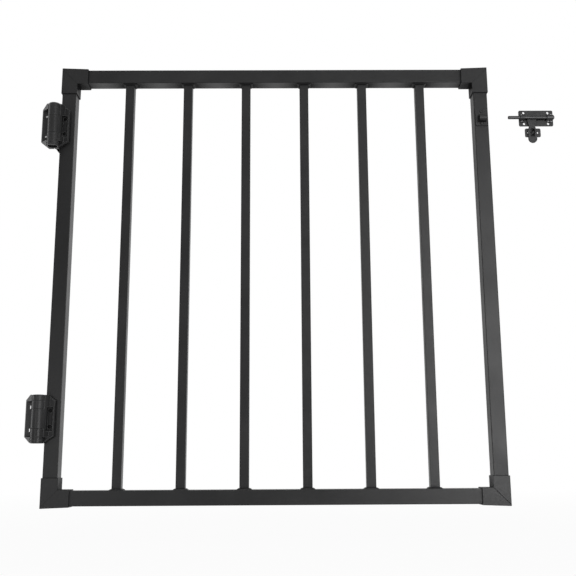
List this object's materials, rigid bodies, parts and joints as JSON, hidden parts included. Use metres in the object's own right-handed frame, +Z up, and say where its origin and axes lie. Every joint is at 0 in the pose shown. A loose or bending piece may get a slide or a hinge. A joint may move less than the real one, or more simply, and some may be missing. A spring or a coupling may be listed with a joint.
{
  "type": "deck gate",
  "caption": "Square black picket gate for a deck railing, with self-closing barrel hinges, a bolt keeper and a padlock slide bolt with its staple.",
  "frame": {"origin": "middle of the lower hinge's two post slots, on the post leaf's mounting face", "axes": "+Z up, +X across the gate from hinge side to latch side, +Y from the gate's front to its back"},
  "size_m": [0.9698, 0.0565, 0.82],
  "materials": {
    "powder_coated_aluminium": "satin",
    "hinge_nylon": "satin",
    "bush_acetal": "satin",
    "plain_steel": "satin",
    "black_steel": "satin"
  },
  "bodies": {
    "post_hardware": {"latch_plate": "black_steel", "bolt_guide_front": "black_steel", "bolt_guide_rear": "black_steel", "guide_rivets": "black_steel", "staple_plate": "black_steel", "staple": "black_steel", "lower_post_leaf": "hinge_nylon", "lower_hinge_pin": "plain_steel", "lower_end_cap": "hinge_nylon", "upper_post_leaf": "hinge_nylon", "upper_hinge_pin": "plain_steel", "upper_end_cap": "hinge_nylon"},
    "gate": {"hinge_stile": "powder_coated_aluminium", "latch_stile": "powder_coated_aluminium", "top_rail": "powder_coated_aluminium", "bottom_rail": "powder_coated_aluminium", "lower_hinge_corner": "powder_coated_aluminium", "lower_latch_corner": "powder_coated_aluminium", "upper_hinge_corner": "powder_coated_aluminium", "upper_latch_corner": "powder_coated_aluminium", "picket_1": "powder_coated_aluminium", "picket_2": "powder_coated_aluminium", "picket_3": "powder_coated_aluminium", "picket_4": "powder_coated_aluminium", "picket_5": "powder_coated_aluminium", "picket_6": "powder_coated_aluminium", "picket_welds_top": "powder_coated_aluminium", "picket_welds_bottom": "powder_coated_aluminium", "corner_screws": "black_steel", "keeper": "black_steel", "keeper_screws": "black_steel", "lower_gate_leaf": "hinge_nylon", "lower_hinge_bush": "bush_acetal", "lower_torsion_spring": "plain_steel", "lower_gate_leaf_screws": "black_steel", "upper_gate_leaf": "hinge_nylon", "upper_hinge_bush": "bush_acetal", "upper_torsion_spring": "plain_steel", "upper_gate_leaf_screws": "black_steel"},
    "bolt": {"bolt_rod": "black_steel"},
    "hasp": {"bolt_hasp": "black_steel"},
    "lower_adjuster": {"lower_tension_adjuster": "hinge_nylon"},
    "upper_adjuster": {"upper_tension_adjuster": "hinge_nylon"}
  },
  "joints": [
    {"name": "gate_swing", "type": "hinge", "parent": "post_hardware", "child": "gate", "pos_m": [0.0165, -0.015, 0], "axis": [0, 0, -1], "range_deg": [0, 110], "stiffness_Nm_per_rad": 1.2, "springref_deg": -28.65},
    {"name": "bolt_slide", "type": "slide", "parent": "post_hardware", "child": "bolt", "axis": [1, 0, 0], "range_m": [0, 0.018]},
    {"name": "hasp_turn", "type": "hinge", "parent": "bolt", "child": "hasp", "pos_m": [0.9196, -0.0057, 0.5608], "axis": [-1, 0, 0], "range_deg": [0, 150]},
    {"name": "lower_tension_turn", "type": "hinge", "parent": "post_hardware", "child": "lower_adjuster", "pos_m": [0.0165, -0.015, 0], "axis": [0, 0, 1], "range_deg": [0, 270]},
    {"name": "upper_tension_turn", "type": "hinge", "parent": "post_hardware", "child": "upper_adjuster", "pos_m": [0.0165, -0.015, 0.5456], "axis": [0, 0, 1], "range_deg": [0, 270]}
  ],
  "couplings": [
    {"joint": "hasp_turn", "follows": "bolt_slide", "rad_per_m": 145}
  ]
}
